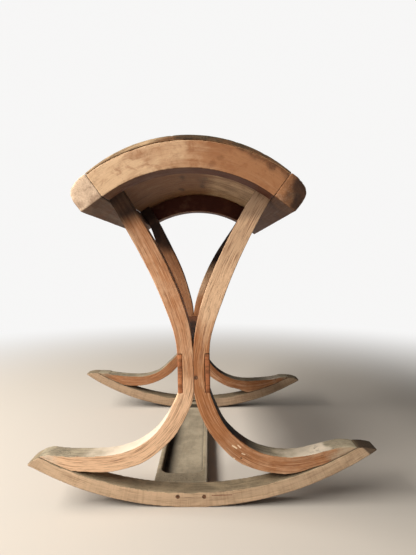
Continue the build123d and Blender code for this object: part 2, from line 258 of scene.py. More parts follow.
def head_sockets(node):
    """A socket for each nail head of a CAD node: the head is the nail's widest ring of points."""
    depth, rise, room = 1.3 * MM, 1.5 * MM, 0.12 * MM
    bars = []
    for points in solids_of(node):
        middle = points.mean(0)
        axis = np.linalg.svd(points - middle, full_matrices=False)[2][0]
        along = (points - middle) @ axis
        radius = np.linalg.norm(points - middle - along[:, None] * axis, axis=1)
        if along[np.argmax(radius)] < 0:
            axis, along = -axis, -along
        top = middle + axis * along.max()
        bars.append((top - axis * depth, top + axis * rise, radius.max() + room))
    return bars


# ---- grain: where each point of a piece lies along, across and through its wood ----


def straight_grain(co):
    """Grain along Y."""
    return np.stack([co[:, 1], co[:, 0], co[:, 2]], axis=1)


def arc_grain(centre_z):
    """Grain round an arc about a line along Y."""

    def at(co):
        angle = np.arctan2(co[:, 0], co[:, 2] - centre_z)
        angle = np.where(np.abs(angle) > pi / 2, angle - np.sign(angle) * pi, angle)
        radius = np.hypot(co[:, 0], co[:, 2] - centre_z)
        return np.stack([angle * np.median(radius), radius, co[:, 1]], axis=1)

    return at


def leg_grain(side):
    """Grain along a leg's centreline, found by slicing it by height down to its knee and then by distance out."""
    knee_z, slice_step = 105 * MM, 9 * MM

    def at(co):
        out = side * co[:, 0]
        line = []
        for z in np.arange(co[:, 2].max() - 25 * MM, knee_z, -slice_step):
            near = np.abs(co[:, 2] - z) < slice_step / 2
            line.append((out[near].mean(), z))
        for x in np.arange(line[-1][0] + 2 * slice_step, out.max() - 8 * MM, slice_step):
            near = (np.abs(out - x) < slice_step / 2) & (co[:, 2] < knee_z + 30 * MM)
            line.append((x, co[near, 2].mean()))
        line = np.array(line)
        for _ in range(3):
            line[1:-1] = (line[:-2] + 2 * line[1:-1] + line[2:]) / 4
        step = np.diff(line, axis=0)
        length = np.linalg.norm(step, axis=1)
        run = np.concatenate([[0], np.cumsum(length)])
        here = np.stack([out, co[:, 2]], axis=1)
        share = ((here[:, None] - line[None, :-1]) * step).sum(2) / length**2
        share[:, 1:-1] = np.clip(share[:, 1:-1], 0, 1)
        share[:, 0] = np.minimum(share[:, 0], 1)
        share[:, -1] = np.maximum(share[:, -1], 0)
        gap = here[:, None] - (line[None, :-1] + share[:, :, None] * step)
        best = np.argmin((gap**2).sum(2), axis=1)
        rows = np.arange(len(co))
        gap = gap[rows, best]
        way = step[best] / length[best, None]
        across = gap[:, 0] * way[:, 1] - gap[:, 1] * way[:, 0]
        return np.stack([run[best] + share[rows, best] * length[best], across, co[:, 1]], axis=1)

    return at


def write_attribute(mesh, name, values):
    """Writes one number or one vector for each vertex."""
    kind, field = ("FLOAT", "value") if values.ndim == 1 else ("FLOAT_VECTOR", "vector")
    attribute = mesh.attributes.new(name, kind, "POINT")
    attribute.data.foreach_set(field, values.astype(np.float32).ravel())


# ---- dirt, weather, painted shade and painted light, on the points of each piece ----


def blots(co, spots, seed):
    """Soft spots, each (x, y, z, radius, strength), with ragged edges."""
    ragged = 0.35 * ripples(co, 14 * MM, seed) + 0.2 * ripples(co, 5 * MM, seed + 7)
    total = np.zeros(len(co))
    for x, y, z, radius, strength in spots:
        gap = np.linalg.norm(co - (x, y, z), axis=1) / radius
        total = np.maximum(total, strength * smoothstep(1.25, 0.55, gap + ragged))
    return total


def y_faces(outward):
    """1 on the faces that look along Y, to the front or to the back."""
    return smoothstep(0.6, 0.9, np.abs(outward[:, 1]))


def facing_up(co, outward, seed, top=1.0):
    """1 where a face looks up and is below a height, 0 elsewhere, with a ragged limit."""
    up = outward[:, 2] + 0.12 * ripples(co, 25 * MM, seed)
    return smoothstep(0.2, 0.6, up) * smoothstep(top + 15 * MM, top, co[:, 2])


def finished(node, mesh, grain, material, seed, paint):
    """Adds the painted attributes and puts the mesh in place of its CAD node."""
    co, outward = coordinates(mesh), normals(mesh)
    write_attribute(mesh, "grain", grain(co))
    painted = dict.fromkeys(("weather", "stain", "bleach_and_painted_light", "grime_and_painted_shade"), 0) | paint(co, outward, seed)
    for name, amount in painted.items():
        write_attribute(mesh, name, np.clip(amount + np.zeros(len(co)), 0, 1))
    for polygon in mesh.polygons:
        polygon.use_smooth = True
    mesh.materials.clear()
    mesh.materials.append(material)
    piece = bpy.data.objects.new(node + "_carved", mesh)
    add_to_scene(piece)
    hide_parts(node)
    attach(piece, "root")


def carved(node, mesh, voxel, rounds, most, seed, softness=None):
    """A remeshed, worn and uneven solid that stays inside its CAD node's box."""
    mesh = with_modifier(mesh, "REMESH", mode="VOXEL", voxel_size=voxel)
    wear = worn(mesh, rounds, most, softness)
    uneven(mesh, wear, seed)
    keep_in_box(mesh, node)
    write_attribute(mesh, "wear", wear)
    return mesh


def arc_radius(half_chord, rise):
    return (half_chord**2 + rise**2) / (2 * rise)


def sheet_with_arcs(node):
    """The seat panel without its bores, as an even lattice of quads, and the height of its upper arc's centre."""
    low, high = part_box(node)
    points = np.array(outline(node))
    right = points[points[:, 0] > 0]
    edge_x, edge_z = right[np.argmax(right[:, 0])]
    under_x, under_z = right[np.argmin(right[:, 1])]
    lower = points[points[:, 1] < high.z - 2 * MM]
    crown_under = lower[np.argmin(np.abs(lower[:, 0])), 1]
    top_radius = arc_radius(edge_x, high.z - edge_z)
    under_radius = arc_radius(under_x, crown_under - under_z)
    centre = high.z - top_radius
    drop = centre - (crown_under - under_radius)
    steps = np.array([0, 0.7, 1.5, 2.6, 4.2, 6.6]) * MM
    inner = np.linspace(low.y + 10 * MM, high.y - 10 * MM, 135)
    rows = np.concatenate([low.y + steps, inner, high.y - steps[::-1]])
    angles = np.linspace(-1, 1, 111) * atan2(edge_x, edge_z - centre)
    layers = np.array([0, 0.18, 0.5, 0.82, 1])
    angle, y, layer = np.meshgrid(angles, rows, layers, indexing="ij")
    under = np.sqrt(under_radius**2 - (drop * np.sin(angle)) ** 2) - drop * np.cos(angle)
    radius = under + (top_radius - under) * layer
    co = np.stack([radius * np.sin(angle), y, centre + radius * np.cos(angle)], axis=-1).reshape(-1, 3)
    number = np.arange(angle.size).reshape(angle.shape)
    sides = []
    for axis in range(3):
        for end in (0, -1):
            side = np.take(number, end, axis=axis)
            quads = np.stack([side[:-1, :-1], side[1:, :-1], side[1:, 1:], side[:-1, 1:]], axis=-1)
            sides.append(quads.reshape(-1, 4))
    quads = np.concatenate(sides)
    used, quads = np.unique(quads, return_inverse=True)
    mesh = bpy.data.meshes.new(node)
    mesh.from_pydata(co[used].tolist(), [], quads.reshape(-1, 4).tolist())
    bm = bmesh.new()
    bm.from_mesh(mesh)
    bmesh.ops.recalc_face_normals(bm, faces=bm.faces)
    bm.to_mesh(mesh)
    bm.free()
    return mesh, centre


# ---- materials ----

SOIL = (48, 37, 22)
RED, DARK_SPOT, CHIP = (112, 52, 30), (40, 26, 16), (240, 214, 180)


def colour(red, green, blue):
    """A linear colour from the 0 to 255 numbers of a paint swatch."""
    return tuple(((c / 255 + 0.055) / 1.055) ** 2.4 if c > 10 else c / 3295 for c in (red, green, blue)) + (1.0,)


class Graph:
    """Shorthand for the nodes of one material."""

    def __init__(self, name):
        self.material = bpy.data.materials.new(name)
        self.material.use_nodes = True
        self.tree = self.material.node_tree
        self.shader = self.tree.nodes["Principled BSDF"]

    def new(self, kind, **settings):
        node = self.tree.nodes.new(kind)
        for key, value in settings.items():
            setattr(node, key, value)
        return node

    def feed(self, socket, value):
        if isinstance(value, bpy.types.NodeSocket):
            self.tree.links.new(value, socket)
        else:
            socket.default_value = value

    def attribute(self, name, output="Fac"):
        return self.new("ShaderNodeAttribute", attribute_name=name).outputs[output]

    def position(self):
        return self.new("ShaderNodeNewGeometry").outputs["Position"]

    def math(self, operation, a, b=0.0):
        node = self.new("ShaderNodeMath", operation=operation)
        self.feed(node.inputs[0], a)
        self.feed(node.inputs[1], b)
        return node.outputs[0]

    def vector(self, operation, a, b=(0, 0, 0), output="Vector"):
        node = self.new("ShaderNodeVectorMath", operation=operation)
        self.feed(node.inputs[0], a)
        self.feed(node.inputs[1], b)
        return node.outputs[output]

    def noise(self, vector, scale=1.0, detail=2.0, roughness=0.5, distortion=0.0, output="Fac"):
        node = self.new("ShaderNodeTexNoise")
        self.feed(node.inputs["Vector"], vector)
        for name, value in (
            ("Scale", scale), ("Detail", detail), ("Roughness", roughness), ("Distortion", distortion),
        ):
            self.feed(node.inputs[name], value)
        return node.outputs[output]

    def ramp(self, value, low, high):
        """0 below low and 1 above high, smooth between."""
        node = self.new("ShaderNodeMapRange", interpolation_type="SMOOTHSTEP")
        self.feed(node.inputs["Value"], value)
        if low > high:
            low, high, node.inputs["To Min"].default_value, node.inputs["To Max"].default_value = high, low, 1, 0
        node.inputs["From Min"].default_value = low
        node.inputs["From Max"].default_value = high
        return node.outputs["Result"]

    def blend(self, factor, a, b, mode="MIX"):
        node = self.new("ShaderNodeMix", data_type="RGBA", blend_type=mode)
        self.feed(node.inputs[0], factor)
        self.feed(node.inputs[6], a)
        self.feed(node.inputs[7], b)
        return node.outputs[2]

    def bump(self, height, strength, distance):
        node = self.new("ShaderNodeBump")
        self.feed(node.inputs["Height"], height)
        node.inputs["Strength"].default_value = strength
        node.inputs["Distance"].default_value = distance
        self.feed(self.shader.inputs["Normal"], node.outputs["Normal"])

    def dash(self, start, end, width):
        """1 along a ragged line between two points, and 0 further off than its width."""
        ragged = self.noise(self.position(), 900, 1, output="Color")
        shift = self.vector("SCALE", self.vector("SUBTRACT", ragged, (0.5, 0.5, 0.5)))
        shift.node.inputs["Scale"].default_value = width
        place = self.vector("ADD", self.position(), shift)
        run = Vector(end) - Vector(start)
        ahead = self.vector("DOT_PRODUCT", self.vector("SUBTRACT", place, tuple(start)), tuple(run), "Value")
        share = self.math("DIVIDE", ahead, max(run.length_squared, 1e-12))
        share.node.use_clamp = True
        line = self.vector("SCALE", tuple(run))
        self.feed(line.node.inputs["Scale"], share)
        nearest = self.vector("ADD", line, tuple(start))
        gap = self.vector("DISTANCE", place, nearest, "Value")
        return self.ramp(gap, width, 0.35 * width)


def scaled(swatch, factor):
    """A paint swatch, lighter or darker."""
    return tuple(min(255, c * factor) for c in swatch)


def old_wood(
    name, pale, mid, deep, seed, pitch=1.5 * MM, fibre=0.5, pores=0.5, mottle=0.5, clouds=0.0, chatter=0.0,
    grey=(158, 145, 121), chalk=(214, 198, 176), streak=0.22, grime_and_painted_shade=(36, 18, 9), marks=(),
):
    """Bare old wood: its grain runs along the grain attribute, and weather, wear, stains, tone, painted shade and
    painted light come from theirs.

    pale, mid and deep are its bare tones, grey and chalk its weathered ones, and its darkest colour is that of its
    grime and of the shade painted on it. pitch is the width of its growth lines. fibre, pores, mottle, clouds, chatter
    and streak say how strong each kind of figure is.
    """
    g = Graph(name)
    offset = np.random.default_rng(seed).uniform(-5, 5, 3)
    grain = g.vector("ADD", g.attribute("grain", "Vector"), tuple(offset))
    sway = g.noise(g.vector("MULTIPLY", grain, (4, 20, 20)), 1, 2, output="Color")
    sway = g.vector("MULTIPLY", g.vector("SUBTRACT", sway, (0.5, 0.5, 0.5)), (0.0, 0.006, 0.006))
    grain = g.vector("ADD", grain, sway)
    across = 1 / pitch

    figure = g.noise(g.vector("MULTIPLY", grain, (4, 80, 80)), 1, 3, 0.55)
    lines = g.noise(g.vector("MULTIPLY", grain, (18, across, across)), 1, 2, 0.6)
    fine = g.noise(g.vector("MULTIPLY", grain, (60, 1500, 1500)), 1, 1, 0.5)
    patches = g.noise(g.position(), 38, 4, 0.6)
    specks = g.noise(g.position(), 420, 3, 0.6)
    blotch = g.noise(g.vector("MULTIPLY", grain, (16, 42, 42)), 1, 3, 0.55, 0.4)

    tone = g.math("ADD", g.math("MULTIPLY", figure, 0.6), g.math("MULTIPLY", patches, 0.4))
    # Paler where the wood is bleached and where light is painted on it.
    bleach_and_painted_light = g.attribute("bleach_and_painted_light")
    tone = g.math("ADD", tone, g.math("MULTIPLY", g.math("SUBTRACT", bleach_and_painted_light, 0.5), 0.6))
    base = g.blend(g.ramp(tone, 0.3, 0.7), colour(*mid), colour(*pale))
    base = g.blend(g.math("MULTIPLY", g.ramp(blotch, 0.5, 0.72), mottle), base, colour(*deep))
    if clouds:
        cloud = g.noise(g.position(), 62, 5, 0.68, 0.6)
        base = g.blend(g.math("MULTIPLY", g.ramp(cloud, 0.47, 0.68), clouds), base, colour(*deep))
        flecks = g.math("MULTIPLY", g.ramp(specks, 0.6, 0.74), 0.5 * clouds)
        base = g.blend(flecks, base, colour(*scaled(deep, 0.6)))
    base = g.blend(g.math("MULTIPLY", g.ramp(lines, 0.52, 0.68), fibre), base, colour(*deep))
    base = g.blend(g.math("MULTIPLY", g.ramp(lines, 0.46, 0.3), 0.45 * fibre), base, colour(*scaled(pale, 1.14)))
    pore = g.ramp(fine, 0.6, 0.7)
    base = g.blend(g.math("MULTIPLY", pore, pores), base, colour(*scaled(deep, 0.6)))
    height = g.math("ADD", g.math("MULTIPLY", lines, 0.8), g.math("MULTIPLY", fine, 0.3))
    height = g.math("SUBTRACT", height, g.math("MULTIPLY", pore, 0.5))
    height = g.math("ADD", height, g.math("MULTIPLY", patches, 0.5))
    if chatter:
        saw = g.noise(g.vector("MULTIPLY", grain, (420, 26, 26)), 1, 2, 0.55)
        saw = g.math("MULTIPLY", g.math("SUBTRACT", saw, 0.5), chatter)
        ridge = g.blend(g.ramp(saw, -0.001, 0.001), colour(*deep), colour(*pale))
        base = g.blend(g.math("ABSOLUTE", saw), base, ridge)
        height = g.math("ADD", height, saw)

    wear = g.attribute("wear")
    rubbed = g.math("MULTIPLY", g.ramp(g.math("ADD", wear, g.math("MULTIPLY", patches, 0.5)), 0.55, 1.1), 0.2)
    base = g.blend(rubbed, base, colour(*scaled(pale, 1.06)))

    weather = g.attribute("weather")
    silver = g.blend(g.ramp(lines, 0.35, 0.65), colour(*grey), colour(*scaled(grey, 1 - streak)))
    silver = g.blend(g.ramp(patches, 0.42, 0.68), silver, colour(*scaled(grey, 1.1)))
    silver = g.blend(g.math("MULTIPLY", g.ramp(specks, 0.56, 0.72), 0.45), silver, colour(*scaled(grey, 0.5)))
    # Chalky where bleached, and where a highlight is painted.
    chalked = g.ramp(g.math("ADD", bleach_and_painted_light, g.math("MULTIPLY", patches, 0.8)), 0.65, 1.45)
    silver = g.blend(chalked, silver, colour(*chalk))
    rough_edge = g.math("MULTIPLY", g.math("SUBTRACT", patches, 0.5), 0.7)
    base = g.blend(g.ramp(g.math("ADD", weather, rough_edge), 0.3, 0.75), base, silver)

    stain = g.attribute("stain")
    soiled = g.math("MULTIPLY", g.math("SUBTRACT", specks, 0.5), 0.8)
    soiled = g.math("ADD", g.math("SUBTRACT", patches, 0.5), soiled)
    soiled = g.ramp(g.math("ADD", stain, g.math("MULTIPLY", soiled, 0.8)), 0.15, 0.85)
    base = g.blend(g.math("MULTIPLY", soiled, g.ramp(stain, 0.02, 0.2)), base, colour(*SOIL))
    for start, end, width, mark_tone, strength in marks:
        base = g.blend(g.math("MULTIPLY", g.dash(start, end, width), strength), base, colour(*mark_tone))
    # Painted shade and grime: towards the darkest colour where their attribute is high, broken up by patches.
    cloudy = g.math("ADD", 1.0, g.math("MULTIPLY", g.math("SUBTRACT", patches, 0.5), 0.5))
    shade = g.math("MULTIPLY", g.attribute("grime_and_painted_shade"), cloudy)
    shade.node.use_clamp = True
    base = g.blend(shade, base, colour(*grime_and_painted_shade))
    g.feed(g.shader.inputs["Base Color"], base)

    rough = g.math("ADD", 0.6, g.math("MULTIPLY", lines, 0.22))
    rough = g.math("ADD", rough, g.math("MULTIPLY", weather, 0.14))
    rough = g.math("SUBTRACT", rough, g.math("MULTIPLY", wear, 0.1))
    g.feed(g.shader.inputs["Roughness"], rough)
    g.shader.inputs["Specular IOR Level"].default_value = 0.28
    g.bump(height, 0.6, 0.5 * MM)
    return g.material


def nail_iron():
    """Rusted iron."""
    g = Graph("nail_iron")
    place = g.position()
    rust = g.noise(place, 700, 4, 0.65)
    pits = g.noise(place, 1900, 2)
    base = g.blend(g.ramp(rust, 0.38, 0.62), colour(84, 60, 44), colour(132, 88, 58))
    base = g.blend(g.ramp(pits, 0.58, 0.7), base, colour(44, 32, 26))
    g.feed(g.shader.inputs["Base Color"], base)
    g.feed(g.shader.inputs["Metallic"], g.ramp(rust, 0.55, 0.35))
    g.feed(g.shader.inputs["Roughness"], g.math("ADD", 0.45, g.math("MULTIPLY", rust, 0.4)))
    g.bump(g.math("ADD", rust, pits), 0.6, 0.2 * MM)
    return g.material


def dowel_wood():
    """End grain and sides of the round dowels and pegs."""
    g = Graph("dowel_wood")
    place = g.position()
    speckle = g.noise(place, 1300, 3, 0.6)
    cloud = g.noise(place, 160, 3, 0.6)
    base = g.blend(g.ramp(cloud, 0.35, 0.65), colour(128, 88, 56), colour(170, 126, 86))
    base = g.blend(g.math("MULTIPLY", g.ramp(speckle, 0.5, 0.68), 0.7), base, colour(70, 44, 26))
    g.feed(g.shader.inputs["Base Color"], base)
    g.feed(g.shader.inputs["Roughness"], g.math("ADD", 0.55, g.math("MULTIPLY", cloud, 0.25)))
    g.bump(speckle, 0.5, 0.3 * MM)
    return g.material


# ---- the pieces ----


def front(x, z, y=FRONT_Y):
    """A point on the front, from millimetres."""
    return (x * MM, y, z * MM)


def leg_scratch(x, z):
    return (front(x, z), front(x + 3, z + 0.5), 0.9 * MM, RED, 0.7)


# Each wood's darkest colour below is that of its grime and of the shade painted on it.
panel_wood = old_wood(
    "seat_panel_wood", (206, 172, 132), (134, 92, 58), (88, 56, 32), 11, fibre=0.45,
    grey=(118, 103, 77), chalk=(142, 125, 96), streak=0.3,
)
rib_wood = old_wood(
    "rib_wood", (208, 172, 134), (160, 110, 72), (142, 90, 54), 12, pitch=3.0 * MM, fibre=0.14, pores=0.2, mottle=0.7,
    clouds=0.6, grime_and_painted_shade=(62, 20, 4),
    marks=[
        (front(32, 496, RIB_Y), front(35, 498, RIB_Y), 6.0 * MM, (116, 70, 40), 0.5),
        (front(43, 505, RIB_Y), front(47, 506, RIB_Y), 5.0 * MM, (122, 78, 46), 0.45),
    ],
)
rail_wood = old_wood(
    "rail_wood", (216, 186, 156), (156, 106, 68), (104, 64, 38), 13, pitch=2.2 * MM, fibre=0.25, pores=0.3, mottle=0.6,
    clouds=0.15, grime_and_painted_shade=(42, 22, 10),
)
left_leg_wood = old_wood(
    "left_leg_wood", (232, 190, 152), (180, 122, 80), (140, 88, 54), 14, fibre=0.6, pores=0.55, mottle=0.25,
    marks=[leg_scratch(-168, 75), leg_scratch(-161, 77), leg_scratch(-157, 79)],
)
right_leg_wood = old_wood(
    "right_leg_wood", (220, 180, 142), (168, 110, 68), (128, 76, 44), 15, fibre=0.7, pores=0.55, mottle=0.35,
    marks=[
        (front(62, 90.5), front(68, 87), 1.5 * MM, CHIP, 1.0),
        (front(70, 91), front(74, 87.5), 1.3 * MM, CHIP, 1.0),
        (front(76, 79), front(80, 77.5), 1.2 * MM, CHIP, 0.8),
        (front(63.5, 72), front(65, 72), 1.3 * MM, CHIP, 0.8),
        (front(74.5, 72.3), front(75, 72.3), 1.7 * MM, DARK_SPOT, 0.8),
        (front(221, 70.5), front(233, 65.5), 0.9 * MM, (60, 34, 20), 0.8),
        (front(4, 188), front(6, 193), 5.0 * MM, (126, 62, 36), 0.55),
    ],
)
rocker_wood = old_wood(
    "rocker_wood", (214, 181, 147), (190, 162, 132), (142, 110, 80), 16, pitch=2.0 * MM, fibre=0.45, pores=0.4,
    mottle=0.4, chatter=1.2, grey=(138, 121, 95), chalk=(152, 135, 108),
    marks=[(front(31.5, 17.4), front(61, 18.2), 0.9 * MM, RED, 0.75)],
)
stretcher_wood = old_wood(
    "stretcher_wood", (206, 136, 88), (170, 104, 64), (104, 60, 34), 17, fibre=0.45, grime_and_painted_shade=(22, 12, 7)
)
tray_wood = old_wood(
    "tray_wood", (172, 158, 134), (146, 132, 108), (112, 98, 76), 18, pitch=6.0 * MM, fibre=0.1, pores=0.15, mottle=0.4,
    grey=(138, 125, 103), chalk=(170, 158, 136), streak=0.06, grime_and_painted_shade=(14, 10, 6),
)
iron, round_wood = nail_iron(), dowel_wood()


def left_to_right(co, seed, left=-130 * MM, right=120 * MM):
    """1 at the left, falling to 0 at the right."""
    return 1 - smoothstep(left, right, co[:, 0] + 14 * MM * ripples(co, 60 * MM, seed))


def panel_paint(co, outward, seed):
    x = co[:, 0]
    up = facing_up(co, outward, seed)
    rim = y_faces(outward)
    crown = smoothstep(-70 * MM, -5 * MM, x)
    under = smoothstep(-0.3, -0.7, outward[:, 2])
    ragged = 0.4 * ripples(co * (1, 0.3, 1), 26 * MM, seed + 3) + 0.1
    middle = smoothstep(-60 * MM, -25 * MM, x) * smoothstep(50 * MM, 10 * MM, x)
    # The rim is paler towards the left, painted light where its rounded edge faces the window, and darker from the
    # crown rightwards, partly grime and partly painted shade on that edge. The underside is darker towards the left.
    return {
        "weather": up + 0.5 * rim * crown,
        "bleach_and_painted_light": 0.9 * rim * (1 - crown) + under * (0.1 + 0.45 * smoothstep(0, 50 * MM, x)) + 0.35 * up,
        "stain": 0.5 * rim * crown + under * np.clip(ragged, 0, 0.6) * middle,
        "grime_and_painted_shade": 0.3 * rim * crown + 0.12 * under * smoothstep(-30 * MM, -90 * MM, x),
    }


def rib_paint(co, outward, seed):
    front_face = smoothstep(0.6, 0.9, -outward[:, 1])
    lift = np.hypot(co[:, 0], co[:, 2] - seat_centre_z)
    edge = smoothstep(lift.max() - 15 * MM, lift.max() - 2 * MM, lift + 3 * MM * ripples(co, 25 * MM, seed))
    patina = edge * smoothstep(25 * MM, 70 * MM, co[:, 0])
    # Painted shade: the rib's down-facing belly, and its inner face under the seat.
    belly_shade = smoothstep(-0.4, -0.8, outward[:, 2]) * (np.abs(outward[:, 1]) < 0.5)
    under_seat_shade = y_faces(outward) if co[:, 1].mean() > 0 else smoothstep(0.6, 0.9, outward[:, 1])
    under_seat_shade = np.where(co[:, 1] > REAR_RIB_Y + 30 * MM, 0, under_seat_shade)
    # Paler towards the left: partly sun bleaching, partly painted light falling off away from the window. The patina
    # along the right of the top edge is the rib's own.
    return {
        "bleach_and_painted_light": left_to_right(co, seed),
        "stain": 0.5 * patina * front_face,
        "grime_and_painted_shade": np.maximum.reduce([0.4 * patina * front_face, 0.88 * belly_shade, under_seat_shade]),
    }


def rail_paint(co, outward, seed):
    side = -1 if co[:, 0].mean() < 0 else 1
    under = smoothstep(-0.2, -0.7, outward[:, 2])
    end = y_faces(outward)
    x, z = co[:, 0], co[:, 2]
    weather = 0.35 * facing_up(co, outward, seed)
    # Painted shade: the underside and the inner face, under the seat, darker.
    grime_and_painted_shade = np.maximum(0.74 * under, 0.9 * smoothstep(0.5, 0.8, -side * outward[:, 0]))
    if side < 0:
        stain = 0.16 * smoothstep(-138 * MM, -150 * MM, x) * end
        return {"bleach_and_painted_light": 0.5 + 0.45 * end, "weather": weather, "grime_and_painted_shade": grime_and_painted_shade, "stain": stain}
    shade = smoothstep(126 * MM, 148 * MM, x - 0.35 * (z - 455 * MM) + 5 * MM * ripples(co, 20 * MM, seed))
    # The dark patch on the right rail's end is a stain; the right-facing faces are darker with painted shade.
    grime_and_painted_shade = np.maximum.reduce([grime_and_painted_shade, 0.85 * shade * end, 0.6 * smoothstep(0.2, 0.7, outward[:, 0])])
    return {"bleach_and_painted_light": 0.1, "weather": weather, "grime_and_painted_shade": grime_and_painted_shade, "stain": 0.4 * shade * end}


def leg_paint(end, side):
    """The painter of one leg: the left ones and the right ones, and front and rear, differ in weathering and in the
    shade and light painted on them.
    """

    def paint(co, outward, seed):
        z, out = co[:, 2], side * co[:, 0]
        face = y_faces(outward)
        foot_up = facing_up(co, outward, seed, 84 * MM)
        toe = smoothstep(150 * MM, 215 * MM, out)
        low = smoothstep(150 * MM, 90 * MM, z)
        if side < 0:
            bleach_and_painted_light = 0.34 + 0.66 * smoothstep(215 * MM, 110 * MM, z)
            weather = smoothstep(0.1, 0.4, outward[:, 2]) * smoothstep(165 * MM, 125 * MM, z)
            # A painted highlight: the upward faces of the left foot, towards the window, nearly white.
            painted_highlight = 0.95 * weather * smoothstep(205 * MM, 105 * MM, out + 8 * MM * ripples(co, 30 * MM, seed))
            bleach_and_painted_light = np.maximum(bleach_and_painted_light * (1 - weather), painted_highlight)
            # Painted shade on the right-facing faces, and a painted shadow from the rail over the leg's top.
            grime_and_painted_shade = 0.55 * smoothstep(0.4, 0.8, outward[:, 0])
            grime_and_painted_shade = np.maximum(grime_and_painted_shade, 0.93 * smoothstep(408 * MM, 442 * MM, z + 0.4 * (out - 80 * MM)))
        else:
            bleach_and_painted_light = 0.85 - 0.75 * smoothstep(320 * MM, 215 * MM, z) + 0.3 * low
            # Painted shade on the right-facing faces, most in the waist's hollow, and a painted shadow under the rib at
            # the top.
            hollow_shade = smoothstep(0.1, 0.6, outward[:, 0]) * smoothstep(250 * MM, 190 * MM, z)
            grime_and_painted_shade = 0.75 * hollow_shade * smoothstep(62 * MM, 88 * MM, z) + 0.3 * smoothstep(0.5, 0.8, outward[:, 0])
            upper_shadow = 0.4 * smoothstep(418 * MM, 436 * MM, z) + 0.16 * smoothstep(330 * MM, 390 * MM, z)
            grime_and_painted_shade = np.maximum(grime_and_painted_shade, upper_shadow)
            # The foot's top is paler: partly chalky weathering, partly a painted highlight where it faces the window.
            along = out + 8 * MM * ripples(co, 30 * MM, seed)
            cream_and_highlight = smoothstep(95 * MM, 175 * MM, along) * smoothstep(235 * MM, 190 * MM, along)
            weather = foot_up * smoothstep(45 * MM, 70 * MM, out)
            bleach_and_painted_light = np.maximum(bleach_and_painted_light * (1 - foot_up), 0.8 * cream_and_highlight * weather)
        weather = np.maximum(weather, 0.5 * toe * face * low)
        # Painted shade on the down-facing faces.
        grime_and_painted_shade = np.maximum(grime_and_painted_shade, 0.45 * smoothstep(-0.35, -0.75, outward[:, 2]))
        if end == "rear":
            # Painted shade: the rear legs darker, most at their upper ends under the seat and on right-facing faces,
            # and less bleached.
            top = 385 * MM if side < 0 else 345 * MM
            inner = smoothstep(0.7, 0.3, outward[:, 1])
            grime_and_painted_shade = np.maximum(grime_and_painted_shade, inner * smoothstep(top - 35 * MM, top + 25 * MM, z))
            grime_and_painted_shade = np.maximum(grime_and_painted_shade, 0.6 * smoothstep(0.3, 0.7, outward[:, 0]))
            grime_and_painted_shade = np.maximum(grime_and_painted_shade, (0.4 if side < 0 else 0.12) * smoothstep(150 * MM, 230 * MM, z))
            grime_and_painted_shade = np.maximum(grime_and_painted_shade, 0.22 if side < 0 else 0.1)
            bleach_and_painted_light = bleach_and_painted_light * (0.2 if side < 0 else 0.9)
        y = co[:, 1].mean()
        spots = [(side * 190 * MM, y, 70 * MM, 14 * MM, 0.35), (side * 55 * MM, y, 120 * MM, 11 * MM, 0.3)]
        return {"bleach_and_painted_light": bleach_and_painted_light, "weather": weather, "grime_and_painted_shade": grime_and_painted_shade, "stain": blots(co, spots, seed)}

    return paint


def rocker_paint(co, outward, seed):
    x, z = co[:, 0], co[:, 2]
    face = y_faces(outward)
    beak = smoothstep(-2 * MM, 1 * MM, x - 262 * MM + 1.1 * (z - 80 * MM)) * face * (x > 200 * MM)
    tip_top = smoothstep(230 * MM, 255 * MM, x) * smoothstep(0.3, 0.7, outward[:, 2])
    right_face = smoothstep(0.25, 0.6, outward[:, 0])
    sole = smoothstep(-0.3, -0.7, outward[:, 2])
    middle = smoothstep(200 * MM, 60 * MM, np.abs(x))
    left_tip = face * smoothstep(-205 * MM, -240 * MM, x)
    rear = co[:, 1] > 0
    # Paler towards the left: partly sun bleaching, partly painted light falling off away from the window. Painted
    # shade: the sole, the right-facing faces and the whole rear rocker darker. The right tip's beak and top, and the
    # left tip's face, are darker too.
    return {
        "bleach_and_painted_light": 0.25 + 0.5 * left_to_right(co, seed, -260 * MM, 200 * MM),
        "weather": facing_up(co, outward, seed) + 0.3 * face * middle,
        "grime_and_painted_shade": np.maximum.reduce(
            [0.7 * sole, 0.82 * right_face, 0.85 * beak, 0.85 * tip_top, 0.3 * rear, 0.2 * left_tip]
        ),
    }


def stretcher_paint(co, outward, seed):
    end = y_faces(outward)
    up = smoothstep(0.3, 0.7, outward[:, 2])
    side = smoothstep(0.5, 0.8, np.abs(outward[:, 0]))
    bands = smoothstep(0.1, 0.9, ripples(co * (0.15, 0, 1), 7 * MM, seed))
    near = smoothstep(140 * MM, 60 * MM, co[:, 1])
    # Painted shade: the top, under the seat between the frames, nearly black and blackest towards the front, and the
    # sides darker. The end faces are banded darker.
    grime_and_painted_shade = np.maximum.reduce([(0.72 + 0.26 * near) * up, 0.4 * side, 0.4 * end * bands])
    return {"grime_and_painted_shade": grime_and_painted_shade, "bleach_and_painted_light": 0.4 * end * smoothstep(20 * MM, -20 * MM, co[:, 0])}


